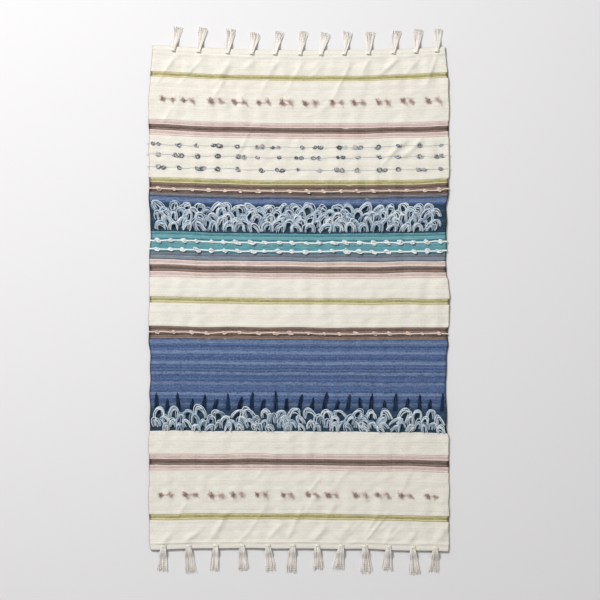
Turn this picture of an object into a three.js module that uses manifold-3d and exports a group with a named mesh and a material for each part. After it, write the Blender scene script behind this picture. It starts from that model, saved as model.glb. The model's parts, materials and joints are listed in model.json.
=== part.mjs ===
// A hand-woven cotton bath mat with looped pile, tufts and tassels, in millimetres.
// +X runs across the mat, +Y towards its back end, +Z is up, and the mat lies on z = 0.
// The cloth is a sheet of cream warp. Each coloured weft is a closed band of yarn that
// wraps the warp and turns at both selvedges. Each tassel swings on its own pinhole.
import * as THREE from "three";
import { mergeVertices } from "three/addons/utils/BufferGeometryUtils.js";
import Module from "manifold-3d";

const wasm = await Module();
wasm.setup();

// ---- driving dimensions ----
const WIDTH = 686; // selvedge to selvedge
const LENGTH = 1152; // hem to hem, without the tassels
const CLOTH = 5; // thickness of the woven cloth
const WARP = 1.6; // thickness of the bare warp sheet inside a coloured band
const GAP = 0.3; // between pieces that touch
const SELVEDGE = 1.6; // thickness of a weft where it turns at the edge
const EDGE_ROUND = 1.2; // chamfer along the selvedges
const SEGMENTS = 6; // steps across the width

// How the cloth lies: its middle slides towards the front at the back end, and back at the front end.
const BOW_MEAN = 3; // at mid-length, at mid-width
const BOW_CHANGE = 7.5; // added towards the back end
const SKEW = 2; // the right selvedge lies this far forward of the middle

// Rolled hems, lifted a little by the tassels' lower strands
const HEM_THICK = 4.6;
const HOLE_INSET = 7; // pinhole centre from the hem's edge
const HEM_YARN = 1.2; // running thread along the hem
const HEM_THREAD_CLEAR = 0.5; // from the pinholes to the running thread
const HEM_MARGIN = 1.7; // from the running thread to the start of the hem
const HEM_ROOT = 1; // how far the cloth runs into the hem

// Tassels
const STRAP = 1.6; // strands over and under the hem
const STRAP_WIDTH = 5;
const STRAP_CLEAR = 0.4; // strap to hem
const POST = 4; // strands through the pinhole, along the mat
const SWING = 22; // degrees each way from straight out
const HEAD_WIDTH = 9;
const HEAD_DEPTH = 7;
const SKIRT_THICK = 3.6;
const SKIRT_FLARE = 15; // width at the free end
const FINGERS = 4; // strands shown at the free end
const TASSEL_BACK = 57; // from the pinhole to the free end
const TASSEL_FRONT = 63;
// Knot places along each hem and how far each tassel leans to the right, in degrees
const BACK_TASSELS = [
  [-287, 12], [-229, 10], [-163, 8], [-108, 9], [-55, 12], [2, 8],
  [50, 12], [103, 10], [158, 6], [215, 9], [266, 8], [314, 5],
];
const FRONT_TASSELS = [
  [-309, -3], [-252, 4], [-190, -5], [-130, 3], [-71, 6], [-14, -4],
  [41, 3], [96, -6], [150, 4], [204, -3], [259, 5], [311, -4],
];

// Surface yarns, woven into grooves in the cloth
const GROOVE = 0.8; // depth of each groove
const YARN_PROUD = 1.1; // height of a surface yarn over the cloth
const SLUB_YARN = 3; // its width along the mat

// Knots and tufts on the surface yarns: pitch across the mat and size
const GREY_SLUB = { pitch: 46, size: 5, height: 2.6 };
const PINK_SLUB = { pitch: 38, size: 6, height: 3.2 };
const WHITE_SLUB = { pitch: 31, size: 9, height: 4.2 };
const ROSE_TUFT = { pitch: 55, size: 12, height: 7, apart: 24 };
const KNOT_MARGIN = 14; // from a selvedge to the first knot

// Looped pile: arches of yarn that lean towards the back end
const LOOP_WIDTH = 29;
const LOOP_HEIGHT = 19;
const LOOP_YARN = 4.6;
const LOOP_PITCH = 36;
const LOOP_LEAN = 52; // degrees from upright
const LOOP_MARGIN = 20;
const LINK_YARN = 4; // yarn carried from one row to the next

// Upright tufts in front of the lower pile, long and short in turn
const SPIKE_PITCH = 27.5;
const SPIKE_WIDTH = 7;
const SPIKE_LONG = 36;
const SPIKE_SHORT = 25;
const SPIKE_THICK = 3;

// The weft plan, from the back end: [name, yarn, width]. A cream field has a share in place of a
// width: the fields divide what the coloured bands and hems leave of the length.
const PLAN = [
  ["cream_1", "cream", 44], ["olive_1", "olive", 12.5], ["cream_2", "cream", 98],
  ["pink_1", "pink", 11], ["brown_1", "brown", 12], ["pink_2", "pink", 12.5],
  ["cream_3", "cream", 96], ["olive_2", "olive", 11.5], ["brown_2", "brown", 23],
  ["grey_1", "grey", 8], ["blue_1", "blue", 80], ["teal_1", "teal", 48],
  ["slate_1", "slate", 17], ["pink_3", "pink", 13], ["brown_3", "brown", 13.5],
  ["pink_4", "pink", 13.5], ["cream_4", "cream", 46], ["olive_3", "olive", 14],
  ["cream_5", "cream", 52.5], ["brown_4", "brown", 28.5], ["blue_2", "blue", 212],
  ["cream_6", "cream", 52.5], ["pink_5", "pink", 11.5], ["brown_5", "brown", 13.5],
  ["pink_6", "pink", 13.5], ["cream_7", "cream", 99.5], ["olive_4", "olive", 13.5],
  ["cream_8", "cream", 53],
];

// Surface yarns: [node, yarn, band, places as shares of the band from its back edge, knots]
const SURFACE_YARNS = [
  ["grey_slub_1", "grey_slub", "cream_3", 0.203, GREY_SLUB],
  ["grey_slub_2", "grey_slub", "cream_3", 0.452, GREY_SLUB],
  ["grey_slub_3", "grey_slub", "cream_3", 0.76, GREY_SLUB],
  ["pink_slub_1", "pink_slub", "brown_2", 0.6, PINK_SLUB],
  ["pink_slub_2", "pink_slub", "brown_4", 0.48, PINK_SLUB],
  ["white_slub_1", "white_slub", "teal_1", 0.45, WHITE_SLUB],
  ["white_slub_2", "white_slub", "teal_1", 0.88, WHITE_SLUB],
  ["rose_tufts_back", "rose_tuft", "cream_2", 0.51, ROSE_TUFT],
  ["rose_tufts_front", "rose_tuft", "cream_7", 0.55, ROSE_TUFT],
];

// Pile rows, as distances from the back edge of their band
const LOOPS_BACK = { node: "loop_pile_back", band: "blue_1", rows: [32, 52, 72] };
const LOOPS_FRONT = { node: "loop_pile_front", band: "blue_2", rows: [181, 202] };
const SPIKES = { node: "navy_tufts", band: "blue_2", row: 157 };

// The pinholes clear the strands that turn in them, and the hem holds both them and its thread.
const POST_REACH = Math.hypot(POST, STRAP_WIDTH) / 2;
const HOLE_RADIUS = POST_REACH + STRAP_CLEAR;
const HEM_THREAD_INSET = HOLE_INSET + HOLE_RADIUS + HEM_THREAD_CLEAR + GAP + HEM_YARN / 2;
const HEM_DEPTH = HEM_THREAD_INSET + HEM_YARN / 2 + HEM_MARGIN;

const COLOURS = {
  cream: 0xe6e0d2, olive: 0xa99d62, pink: 0xd2b8ab, brown: 0x5f4a41, grey: 0x73747d,
  blue: 0x4c6290, teal: 0x538f96, slate: 0x6f7c88, rose_tuft: 0x9a7c74, grey_slub: 0xa3a6b2,
  pink_slub: 0xd9bfb0, white_slub: 0xe9eeee, loops: 0xc9d6de, navy: 0x1e2f4c,
  tassel: 0xe2dccc, hem_thread: 0x8d8478,
};
const ROUGHNESS = 0.95;

// ---- meshes and solids ----

function solidOf(geometry) {
  const bare = geometry.clone();
  bare.deleteAttribute("normal");
  bare.deleteAttribute("uv");
  const merged = mergeVertices(bare, 1e-4);
  return new wasm.Manifold(
    new wasm.Mesh({
      numProp: 3,
      vertProperties: merged.attributes.position.array,
      triVerts: new Uint32Array(merged.index.array),
    }),
  );
}

function geometryOf(solid) {
  const mesh = solid.getMesh();
  const geometry = new THREE.BufferGeometry();
  geometry.setAttribute("position", new THREE.BufferAttribute(mesh.vertProperties, 3));
  geometry.setIndex(new THREE.BufferAttribute(mesh.triVerts, 1));
  const flat = geometry.toNonIndexed();
  flat.computeVertexNormals();
  return flat;
}

const joined = (solids) => solids.reduce((whole, next) => whole.add(next));

// Where a point of the straight cloth lies once the mat is put down.
function laidY(x, y) {
  const across = (2 * x) / WIDTH;
  const along = (2 * y) / LENGTH;
  const bow = BOW_MEAN + BOW_CHANGE * along;
  return y - bow * (1 - across * across) - SKEW * across;
}

function lay(geometry) {
  const points = geometry.attributes.position;
  for (let i = 0; i < points.count; i++) {
    points.setY(i, laidY(points.getX(i), points.getY(i)));
  }
  return geometry;
}

// A slab across the mat between two distances along it, in the same steps on every piece so that
// neighbours follow one another. Its selvedges are chamfered by round.
function slab(front, back, { half, low, high, round }) {
  const stations = round ? [-half, round - half] : [-half];
  const reach = WIDTH / 2 - SELVEDGE - EDGE_ROUND - GAP;
  for (let i = 1; i < SEGMENTS; i++) {
    stations.push(reach * ((2 * i) / SEGMENTS - 1));
  }
  stations.push(...(round ? [half - round, half] : [half]));
  const last = stations.length - 1;
  const geometry = new THREE.BoxGeometry(last, 1, 1, last, 1, 1);
  const points = geometry.attributes.position;
  for (let i = 0; i < points.count; i++) {
    const station = Math.round(points.getX(i) + last / 2);
    const trim = station === 0 || station === last ? (round ?? 0) : 0;
    const y = points.getY(i) < 0 ? front : back;
    const z = points.getZ(i) < 0 ? low + trim : high - trim;
    points.setXYZ(i, stations[station], y, z);
  }
  return solidOf(lay(geometry));
}

// A slab, or with an inner section a closed band, across the mat.
function across(front, back, outer, inner) {
  const whole = slab(front, back, outer);
  return inner ? whole.subtract(slab(front - 1, back + 1, inner)) : whole;
}

const FACE = { half: WIDTH / 2, low: 0, high: CLOTH, round: EDGE_ROUND };
const WARP_SHEET = {
  half: WIDTH / 2 - SELVEDGE - GAP,
  low: CLOTH / 2 - WARP / 2,
  high: CLOTH / 2 + WARP / 2,
};
const WARP_ROOM = {
  half: WARP_SHEET.half + GAP,
  low: WARP_SHEET.low - GAP,
  high: WARP_SHEET.high + GAP,
};

// ---- the weft plan, placed along the mat ----

const colouredLength = PLAN.filter(([, yarn]) => yarn !== "cream").reduce((sum, [, , w]) => sum + w, 0);
const creamShares = PLAN.filter(([, yarn]) => yarn === "cream").reduce((sum, [, , w]) => sum + w, 0);
const creamLength = LENGTH - 2 * HEM_DEPTH - colouredLength;
const bands = new Map();
let edge = LENGTH / 2 - HEM_DEPTH;
for (const [name, yarn, width] of PLAN) {
  const depth = yarn === "cream" ? (width * creamLength) / creamShares : width;
  bands.set(name, { yarn, back: edge, front: edge - depth });
  edge -= depth;
}

const group = new THREE.Group();

function addNode(name, colour, geometry, parent = group) {
  const material = new THREE.MeshStandardMaterial({
    color: COLOURS[colour],
    roughness: ROUGHNESS,
    metalness: 0,
  });
  const mesh = new THREE.Mesh(geometry, material);
  mesh.name = name;
  parent.add(mesh);
  return mesh;
}

// ---- grooves and the yarns that lie in them ----

const HEM_LOW = STRAP + STRAP_CLEAR + GAP;
const HEM_FACE = { half: WIDTH / 2, low: HEM_LOW, high: HEM_LOW + HEM_THICK, round: EDGE_ROUND };

// The closed band of one surface yarn: flush underneath, proud on top.
function yarnBand(at, width, face, proud) {
  const sunk = GROOVE - GAP;
  return across(
    at - width / 2,
    at + width / 2,
    { half: face.half, low: face.low, high: face.high + proud },
    { half: face.half - sunk, low: face.low + sunk, high: face.high - sunk },
  );
}

// What the cloth loses for that yarn.
function groove(at, width, face) {
  const beyond = GROOVE * 4;
  return across(
    at - width / 2 - GAP,
    at + width / 2 + GAP,
    { half: face.half + beyond, low: face.low - beyond, high: face.high + beyond },
    { half: face.half - GROOVE, low: face.low + GROOVE, high: face.high - GROOVE },
  );
}

// Places across the mat, a pitch apart and centred.
function places(pitch, margin) {
  const half = WIDTH / 2 - margin;
  const steps = Math.floor((2 * half) / pitch);
  const found = [];
  for (let i = 0; i <= steps; i++) {
    found.push((i - steps / 2) * pitch);
  }
  return found;
}

// A knot or tuft that stands on a surface yarn.
function knot(x, at, size, height) {
  const sunk = 0.2; // into the yarn under it
  const geometry = new THREE.CylinderGeometry(size * 0.3, size * 0.5, height, 4);
  geometry.rotateX(Math.PI / 2);
  geometry.translate(x, laidY(x, at), CLOTH + YARN_PROUD - sunk + height / 2);
  return solidOf(geometry);
}

const grooves = new Map([...bands.keys()].map((name) => [name, []]));

for (const [node, colour, bandName, share, knots] of SURFACE_YARNS) {
  const band = bands.get(bandName);
  const at = band.back - share * (band.back - band.front);
  grooves.get(bandName).push(groove(at, SLUB_YARN, FACE));
  const solids = [yarnBand(at, SLUB_YARN, FACE, YARN_PROUD)];
  const offsets = knots.apart ? [-knots.apart / 2, knots.apart / 2] : [0];
  for (const x of places(knots.pitch, KNOT_MARGIN + (knots.apart ?? 0) / 2)) {
    for (const offset of offsets) {
      solids.push(knot(x + offset, at, knots.size, knots.height));
    }
  }
  addNode(node, colour, geometryOf(joined(solids)));
}

// ---- looped pile ----

// One arch of yarn with its feet on a row and its top leaning back.
function arch(x, at) {
  const outer = LOOP_WIDTH / 2;
  const inner = outer - LOOP_YARN;
  const crown = LOOP_HEIGHT - LOOP_YARN;
  const steps = 3;
  const shape = new THREE.Shape();
  shape.moveTo(outer, 0);
  for (let i = 1; i <= steps; i++) {
    const turn = (Math.PI * i) / steps;
    shape.lineTo(outer * Math.cos(turn), LOOP_HEIGHT * Math.sin(turn));
  }
  for (let i = steps; i >= 0; i--) {
    const turn = (Math.PI * i) / steps;
    shape.lineTo(inner * Math.cos(turn), crown * Math.sin(turn));
  }
  const geometry = new THREE.ExtrudeGeometry(shape, { depth: LOOP_YARN, bevelEnabled: false });
  const lean = THREE.MathUtils.degToRad(LOOP_LEAN);
  geometry.translate(0, 0, -LOOP_YARN / 2);
  geometry.rotateX(Math.PI / 2 - lean);
  const lift = (LOOP_YARN / 2) * Math.sin(lean) + GAP;
  geometry.translate(x, laidY(x, at), CLOTH + lift);
  return solidOf(geometry);
}

// Yarn carried along a selvedge from one row to the next.
function link(side, from, to) {
  const low = CLOTH + GAP;
  const geometry = new THREE.BoxGeometry(LINK_YARN, from - to, YARN_PROUD - GAP);
  const x = side * (WIDTH / 2 - LOOP_MARGIN / 2);
  geometry.translate(x, laidY(x, (from + to) / 2), low + (YARN_PROUD - GAP) / 2);
  return solidOf(geometry);
}

for (const { node, band: bandName, rows } of [LOOPS_BACK, LOOPS_FRONT]) {
  const band = bands.get(bandName);
  const solids = [];
  rows.forEach((distance, row) => {
    const at = band.back - distance;
    grooves.get(bandName).push(groove(at, SLUB_YARN, FACE));
    solids.push(yarnBand(at, SLUB_YARN, FACE, YARN_PROUD));
    const shift = (row % 2) * (LOOP_PITCH / 2);
    for (const x of places(LOOP_PITCH, LOOP_MARGIN + LOOP_PITCH / 2)) {
      solids.push(arch(x + shift - LOOP_PITCH / 4, at));
    }
    if (row > 0) solids.push(link(row % 2 ? 1 : -1, band.back - rows[row - 1], at));
  });
  addNode(node, "loops", geometryOf(joined(solids)));
}

// ---- upright tufts ----

function spike(x, at, length) {
  const half = SPIKE_WIDTH / 2;
  const shape = new THREE.Shape();
  shape.moveTo(-half, -SLUB_YARN / 2);
  shape.lineTo(half, -SLUB_YARN / 2);
  shape.lineTo(half * 0.8, length * 0.7);
  shape.lineTo(0, length);
  shape.lineTo(-half * 0.8, length * 0.7);
  const geometry = new THREE.ExtrudeGeometry(shape, { depth: SPIKE_THICK, bevelEnabled: false });
  geometry.translate(x, laidY(x, at), CLOTH + GAP);
  return solidOf(geometry);
}

{
  const band = bands.get(SPIKES.band);
  const at = band.back - SPIKES.row;
  grooves.get(SPIKES.band).push(groove(at, SLUB_YARN, FACE));
  const solids = [yarnBand(at, SLUB_YARN, FACE, YARN_PROUD)];
  places(SPIKE_PITCH, KNOT_MARGIN).forEach((x, i) => {
    solids.push(spike(x, at, i % 2 ? SPIKE_SHORT : SPIKE_LONG));
  });
  addNode(SPIKES.node, "navy", geometryOf(joined(solids)));
}

// ---- coloured bands ----

for (const [name, band] of bands) {
  if (band.yarn === "cream") continue;
  const whole = across(band.front + GAP / 2, band.back - GAP / 2, FACE, WARP_ROOM);
  const cut = grooves.get(name).reduce((solid, cutter) => solid.subtract(cutter), whole);
  addNode(name, band.yarn, geometryOf(cut));
}

// ---- ground cloth, its hems and their thread ----

const ends = [
  { name: "back", way: 1, length: TASSEL_BACK, tassels: BACK_TASSELS },
  { name: "front", way: -1, length: TASSEL_FRONT, tassels: FRONT_TASSELS },
];

function pinhole(x, y) {
  const geometry = new THREE.CylinderGeometry(HOLE_RADIUS, HOLE_RADIUS, 4 * HEM_THICK, 8);
  geometry.rotateX(Math.PI / 2);
  geometry.translate(x, y, HEM_LOW + HEM_THICK / 2);
  return solidOf(geometry);
}

// Where a tassel's pinhole lies. Knots keep their share of the width.
const NOMINAL_WIDTH = 686;
const holeAt = (end, x) => {
  const placed = (x * WIDTH) / NOMINAL_WIDTH;
  return [placed, laidY(placed, end.way * (LENGTH / 2 - HOLE_INSET))];
};

const inside = LENGTH / 2 - HEM_DEPTH;
let ground = across(-inside, inside, WARP_SHEET);
for (const band of bands.values()) {
  if (band.yarn === "cream") ground = ground.add(across(band.front, band.back, FACE));
}
for (const end of ends) {
  const edges = [end.way * (inside - HEM_ROOT), (end.way * LENGTH) / 2].sort((a, b) => a - b);
  ground = ground.add(across(...edges, HEM_FACE));
}
for (const [name, cutters] of grooves) {
  if (bands.get(name).yarn !== "cream") continue;
  for (const cutter of cutters) ground = ground.subtract(cutter);
}
for (const end of ends) {
  const at = end.way * (LENGTH / 2 - HEM_THREAD_INSET);
  ground = ground.subtract(groove(at, HEM_YARN, HEM_FACE));
  for (const [x] of end.tassels) ground = ground.subtract(pinhole(...holeAt(end, x)));
  addNode("hem_thread_" + end.name, "hem_thread", geometryOf(yarnBand(at, HEM_YARN, HEM_FACE, 0)));
}
addNode("ground_cloth", "cream", geometryOf(ground));

// ---- tassels ----

// A tassel's strands go through the pinhole, over and under the hem, and out to a loose skirt.
// It is made pointing along +Y with the middle of its pinhole on the origin.
function tassel(length) {
  const low = GAP;
  const high = HEM_FACE.high + STRAP_CLEAR + STRAP;
  const turn = THREE.MathUtils.degToRad(SWING + 4);
  const reach = (HOLE_INSET + STRAP_CLEAR + (HEAD_WIDTH / 2) * Math.sin(turn)) / Math.cos(turn);
  const profile = new THREE.Shape();
  const back = -POST / 2;
  const front = reach + HEAD_DEPTH;
  profile.moveTo(back, low + 0.5);
  profile.lineTo(back + 0.5, low);
  profile.lineTo(front, low);
  profile.lineTo(front, high - 3);
  profile.lineTo(front - 2, high);
  profile.lineTo(back + 1, high);
  profile.lineTo(back, high - 1);
  const room = new THREE.Path();
  room.moveTo(POST / 2, low + STRAP);
  room.lineTo(reach, low + STRAP);
  room.lineTo(reach, high - STRAP);
  room.lineTo(POST / 2, high - STRAP);
  profile.holes.push(room);
  const loop = new THREE.ExtrudeGeometry(profile, { depth: STRAP_WIDTH, bevelEnabled: false });
  loop.translate(0, 0, -STRAP_WIDTH / 2);
  loop.rotateY(Math.PI / 2);
  loop.rotateX(Math.PI / 2);
  const outline = new THREE.Shape();
  outline.moveTo(-HEAD_WIDTH / 2, reach + 0.5);
  outline.lineTo(HEAD_WIDTH / 2, reach + 0.5);
  outline.lineTo(HEAD_WIDTH / 2, front);
  const step = SKIRT_FLARE / FINGERS;
  for (let i = 0; i < FINGERS; i++) {
    const x = SKIRT_FLARE / 2 - i * step;
    outline.lineTo(x - step * 0.15, length - (i % 2 ? 4 : 1));
    outline.lineTo(x - step * 0.75, length - (i % 2 ? 2 : 0));
    if (i < FINGERS - 1) outline.lineTo(x - step, length - 14);
  }
  outline.lineTo(-HEAD_WIDTH / 2, front);
  const skirt = new THREE.ExtrudeGeometry(outline, { depth: SKIRT_THICK, bevelEnabled: false });
  skirt.translate(0, 0, low);
  return geometryOf(solidOf(loop).add(solidOf(skirt)));
}

for (const end of ends) {
  const geometry = tassel(end.length);
  end.tassels.forEach(([x, lean], i) => {
    const [placed, y] = holeAt(end, x);
    const mesh = addNode("tassel_" + end.name + "_" + (i + 1), "tassel", geometry.clone());
    mesh.position.set(placed, y, 0);
    const straight = end.way > 0 ? 0 : Math.PI;
    mesh.rotation.z = straight - end.way * THREE.MathUtils.degToRad(lean);
  });
}

// The origin is at the bottom centre of the whole mat, tassels included.
const middle = new THREE.Box3().setFromObject(group, true).getCenter(new THREE.Vector3());
group.position.set(-middle.x, -middle.y, 0);

export default group;
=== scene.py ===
"""A hand-woven striped cotton bath mat with looped pile, tufts and tassels.

The mat lies flat on the floor, in metres: +X across it, +Y towards its back end, +Z up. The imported
model says where each band, yarn, hem and tassel is. This script weaves the cloth with its ribs and
wrinkles, sweeps every strand of yarn as real geometry, and gives each yarn its own finish.
"""

import json
import logging
import math
from dataclasses import dataclass, field
from enum import Enum
from typing import Callable, Iterable

import bpy
import numpy as np
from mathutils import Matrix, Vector


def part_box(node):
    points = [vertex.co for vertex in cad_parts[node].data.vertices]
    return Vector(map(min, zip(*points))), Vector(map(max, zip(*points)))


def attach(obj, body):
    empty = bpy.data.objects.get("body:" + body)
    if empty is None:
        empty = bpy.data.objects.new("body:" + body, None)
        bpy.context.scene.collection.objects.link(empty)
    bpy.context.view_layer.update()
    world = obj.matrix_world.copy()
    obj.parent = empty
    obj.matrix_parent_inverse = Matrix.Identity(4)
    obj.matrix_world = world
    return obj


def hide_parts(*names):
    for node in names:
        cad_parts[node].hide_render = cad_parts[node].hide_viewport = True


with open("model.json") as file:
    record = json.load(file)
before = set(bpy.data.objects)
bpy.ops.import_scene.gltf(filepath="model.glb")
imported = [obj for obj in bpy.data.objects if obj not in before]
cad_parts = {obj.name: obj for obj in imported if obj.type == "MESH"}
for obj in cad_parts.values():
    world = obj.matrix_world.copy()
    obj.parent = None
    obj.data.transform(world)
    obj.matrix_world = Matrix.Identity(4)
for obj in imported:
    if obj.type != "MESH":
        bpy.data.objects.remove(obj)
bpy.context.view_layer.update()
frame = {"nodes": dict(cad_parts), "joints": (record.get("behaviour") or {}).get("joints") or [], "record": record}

LOG = logging.getLogger("bath_mat")
Array = np.ndarray
Socket = bpy.types.NodeSocket
MM = 0.001
MAT_BODY = "mat"
SEED = 27
NO_PILE = (9.0, 10.0)  # beyond the back edge of any band, so that no painted shade of a pile shows
LOWEST = 0.3 * MM  # of the cloth's lower face over the floor
HAIR = 0.05 * MM
COVERED_SHARE = 0.25  # of the ground cloth's thickness under a coloured band
HEM_ROLL = 2.6 * MM


# ---------------------------------------------------------------------------
# Small helpers
# ---------------------------------------------------------------------------


def rng(*key: object) -> np.random.Generator:
    """Make a seeded random generator for one piece.

    Args:
        *key: Words and numbers that name the piece.

    Returns:
        A generator that gives the same numbers on every run.
    """
    words = "|".join(str(part) for part in key)
    return np.random.default_rng([SEED, *words.encode()])


def smooth_step(value: Array) -> Array:
    """Ease a value from 0 to 1.

    Args:
        value: Positions, clipped to 0 and 1.

    Returns:
        The eased values.
    """
    t = np.clip(value, 0.0, 1.0)
    return t * t * (3.0 - 2.0 * t)


@dataclass(frozen=True)
class Ripple:
    """A soft random height made of a few sine waves.

    Attributes:
        height: Largest height, in metres.
        wavelength: Typical wavelength, in metres.
        name: Seeds the directions and phases.
        stretch: How much longer the waves are across the mat than along it.
        waves: How many waves are summed.
    """

    height: float
    wavelength: float
    name: str
    stretch: float = 1.0
    waves: int = 7

    def at(self, x: Array, y: Array) -> Array:
        """Give the height at points.

        Args:
            x: Distances across the mat.
            y: Distances along the mat.

        Returns:
            Heights between about minus and plus the ripple's height.
        """
        random = rng("ripple", self.name)
        total = np.zeros(np.broadcast(x, y).shape)
        for _ in range(self.waves):
            turn = random.uniform(0.0, math.pi)
            pitch = self.wavelength * random.uniform(0.6, 1.6)
            phase = random.uniform(0.0, 2.0 * math.pi)
            across = math.cos(turn) / (pitch * self.stretch)
            along = math.sin(turn) / pitch
            total = total + np.sin(2.0 * math.pi * (x * across + y * along) + phase)
        return total * self.height / math.sqrt(self.waves)


# ---------------------------------------------------------------------------
# How the cloth lies
# ---------------------------------------------------------------------------


@dataclass(frozen=True)
class Wrinkle:
    """One soft fold in the cloth.

    Attributes:
        start: The end where it rises soonest, as straight-cloth x and y.
        end: The other end, where it fades slowly.
        width: Half-width of the fold.
        height: How far the cloth rises.
    """

    start: tuple[float, float]
    end: tuple[float, float]
    width: float
    height: float

    def at(self, x: Array, y: Array) -> Array:
        """Give how far this fold lifts the cloth at points."""
        ax, ay = self.start
        dx, dy = self.end[0] - ax, self.end[1] - ay
        length = math.hypot(dx, dy)
        along = ((x - ax) * dx + (y - ay) * dy) / (length * length)
        off = ((x - ax) * dy - (y - ay) * dx) / length
        fade = smooth_step(along / 0.25) * smooth_step((1.0 - along) / 0.45)
        return self.height * fade * np.exp(-((off / self.width) ** 2))


@dataclass(frozen=True)
class Waist:
    """A stretch where tight yarn draws the selvedges in.

    Attributes:
        front: Straight-cloth y where it starts.
        back: Straight-cloth y where it ends.
        left: How far the left selvedge is drawn in, in metres.
        right: The same for the right selvedge.
        ramp: Length over which it comes on.
    """

    front: float
    back: float
    left: float
    right: float
    ramp: float = 9.0 * MM

    def at(self, x: Array, y: Array) -> Array:
        """Give how far selvedge points move inwards."""
        started = smooth_step((y - self.front) / self.ramp + 0.5)
        ending = smooth_step((self.back - y) / self.ramp + 0.5)
        return started * ending * np.where(np.asarray(x) < 0, self.left, self.right)


@dataclass
class LaidCloth:
    """The whole cloth as it lies on the floor.

    Places are given on the straight cloth, with y measured from its middle, and this says where
    they lie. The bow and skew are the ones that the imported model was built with.

    Attributes:
        thickness: Of the cloth between the hems, in metres.
        bow_mean: How far the middle of a row bows forwards, halfway along the mat.
        bow_change: How much more it bows at the back end, and less at the front end.
        skew: How far the right selvedge lies forwards, and the left one backwards.
        hem_depth: Length of each hem, from its fold.
        hem_low: How far the hem's underside stands off the floor.
        hem_thick: Thickness of the hem.
        hem_shoulder: Length over which the cloth rises to the hem.
        edge_radius: Of the rounded selvedges.
        wrinkles: Folds that lift the cloth.
        waists: Stretches where the selvedges are drawn in.
        width: From selvedge to selvedge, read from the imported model.
        length: From hem fold to hem fold, read from it too.
        centre: The y of the straight cloth's middle in the model.
    """

    thickness: float = 5.0 * MM
    bow_mean: float = 3.0 * MM
    bow_change: float = 7.5 * MM
    skew: float = 2.0 * MM
    hem_depth: float = 14.3 * MM
    hem_low: float = 2.3 * MM
    hem_thick: float = 4.6 * MM
    hem_shoulder: float = 9.0 * MM
    edge_radius: float = 2.4 * MM
    wrinkles: list[Wrinkle] = field(default_factory=list)
    waists: list[Waist] = field(default_factory=list)

    def __post_init__(self) -> None:
        low, high = (Vector(corner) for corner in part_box("ground_cloth"))
        self.width = high.x - low.x
        front, back = left_edge("ground_cloth", self.width)
        self.length = float(back - front)
        self.centre = float(back + front) / 2 - self.skew
        self.sag = Ripple(0.7 * MM, 0.16, "sag")
        self.fold = Ripple(1.0 * MM, 0.11, "fold", stretch=0.4, waves=11)
        self.crinkle = Ripple(0.42 * MM, 0.032, "crinkle", stretch=0.8, waves=13)
        self.selvedge_pull = Ripple(1.2 * MM, 0.07, "selvedge")
        self.waver = Ripple(0.75 * MM, 0.08, "waver", stretch=1.5)

    def straight_y(self, laid: float) -> float:
        """Turn a y on the left selvedge into a straight-cloth y."""
        return laid - self.centre - self.skew

    def laid_y(self, x: Array, y: Array) -> Array:
        """Give where straight-cloth points lie along the mat."""
        across = 2.0 * x / self.width
        along = 2.0 * y / self.length
        bow = self.bow_mean + self.bow_change * along
        bowed = y - bow * (1.0 - across * across) - self.skew * across + self.centre
        return bowed + self.waver.at(x, y)

    def laid_x(self, x: Array, y: Array) -> Array:
        """Give where straight-cloth points lie across the mat, with its wavy selvedges."""
        side = np.sign(x) * smooth_step((np.abs(x) * 2.0 / self.width - 0.7) / 0.3)
        away = smooth_step((self.length / 2 - np.abs(y)) / 0.045)
        pull = self.selvedge_pull.at(np.sign(x) * 0.3, y) * away
        drawn = sum((waist.at(x, y) for waist in self.waists), np.zeros(np.broadcast(x, y).shape))
        return x + side * (pull - drawn)

    def hem_share(self, y: Array) -> Array:
        """Give 0 on the cloth and 1 on the rolled hems."""
        return smooth_step((np.abs(y) - (self.length / 2 - self.hem_depth)) / (2.0 * MM))

    def lift(self, x: Array, y: Array) -> Array:
        """Give how far the underside of the cloth stands off the floor."""
        edge = self.length / 2 - self.hem_depth - self.hem_shoulder
        up = smooth_step((np.abs(y) - edge) / self.hem_shoulder) * self.hem_low
        folds = sum((fold.at(x, y) for fold in self.wrinkles), np.zeros(np.broadcast(x, y).shape))
        flat_near_hem = 1.0 - 0.88 * self.hem_share(y)
        soft = (self.sag.at(x, y) + self.fold.at(x, y) + 1.2 * MM) * flat_near_hem
        return up + folds * flat_near_hem + np.maximum(soft, 0.0)

    def top(self, x: Array, y: Array) -> Array:
        """Give the height of the plain cloth's upper face, without its ribs."""
        hem = self.hem_share(y)
        thick = self.thickness * (1.0 - hem) + self.hem_thick * hem
        return self.lift(x, y) + thick + self.crinkle.at(x, y) * (1.0 - hem)

    def drape(self, points: Array) -> Array:
        """Lay an array of straight-cloth points, whose z is their height over the cloth."""
        x, y, z = points[:, 0], points[:, 1], points[:, 2]
        return np.column_stack([self.laid_x(x, y), self.laid_y(x, y), self.top(x, y) + z])


def place_new(name: str, data: bpy.types.ID) -> bpy.types.Object:
    """Make an object of some data and put it in the scene."""
    made = bpy.data.objects.new(name, data)
    bpy.context.scene.collection.objects.link(made)
    return made


def node_points(node: str) -> Array:
    """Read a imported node's vertices.

    Args:
        node: Name of the node.

    Returns:
        An array of x, y, z rows in metres.
    """
    mesh = frame["nodes"][node].data
    points = np.empty(len(mesh.vertices) * 3)
    mesh.vertices.foreach_get("co", points)
    return points.reshape(-1, 3)


def left_edge(node: str, width: float) -> tuple[float, float]:
    """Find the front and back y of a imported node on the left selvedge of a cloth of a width."""
    points = node_points(node)
    left = points[np.abs(points[:, 0] + width / 2) < 0.1 * MM]
    return left[:, 1].min(), left[:, 1].max()


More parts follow.
